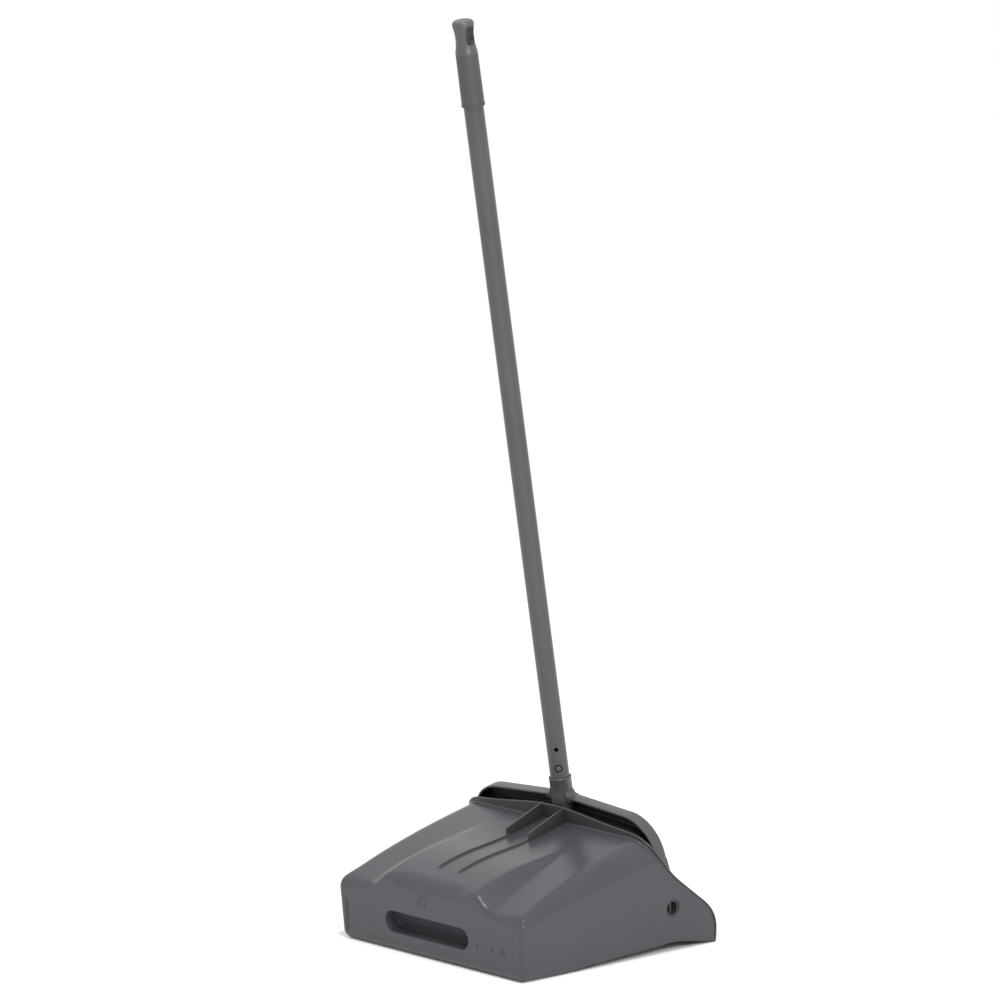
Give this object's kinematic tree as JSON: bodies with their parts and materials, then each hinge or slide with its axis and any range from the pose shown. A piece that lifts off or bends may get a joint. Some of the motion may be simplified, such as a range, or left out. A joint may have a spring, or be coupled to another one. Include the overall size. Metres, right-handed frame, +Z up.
{
  "type": "lobby dustpan",
  "caption": "Upright long-handled dustpan: a hooded pan with a finger slot hangs on a swinging channel yoke, with a tube handle, snap button, grip and hanging cap.",
  "frame": {"origin": "on the floor, under the middle of the pan: midway between the ears, and midway between the lip and the back wall", "axes": "+Z is up along the handle, +Y points to the back wall with the finger slot, -Y is the mouth's side, and X runs along the hinge line"},
  "size_m": [0.3044, 0.295, 1.0393],
  "materials": {
    "pan_plastic": "satin moulded polypropylene, fine grain",
    "handle_plastic": "satin moulded polypropylene",
    "grip_plastic": "fine matte grain",
    "tube_paint": "satin powder coat",
    "button_steel": "dull plated steel"
  },
  "bodies": {
    "pan": {"pan": "pan_plastic"},
    "handle": {"yoke": "handle_plastic", "pivot_pin_left": "handle_plastic", "pivot_pin_right": "handle_plastic", "tube": "tube_paint", "grip_sleeve": "grip_plastic", "hanger_cap": "handle_plastic"},
    "button": {"lock_button": "button_steel", "button_spring": "button_steel"}
  },
  "joints": [
    {"name": "handle_swing", "type": "hinge", "parent": "pan", "child": "handle", "pos_m": [0, -0.0802, 0.049], "axis": [1, 0, 0], "range_deg": [0, 100]},
    {"name": "button_press", "type": "slide", "parent": "handle", "child": "button", "axis": [0.7314, -0.6722, 0.1149], "range_m": [0, 0.0035], "stiffness_N_per_m": 300}
  ]
}
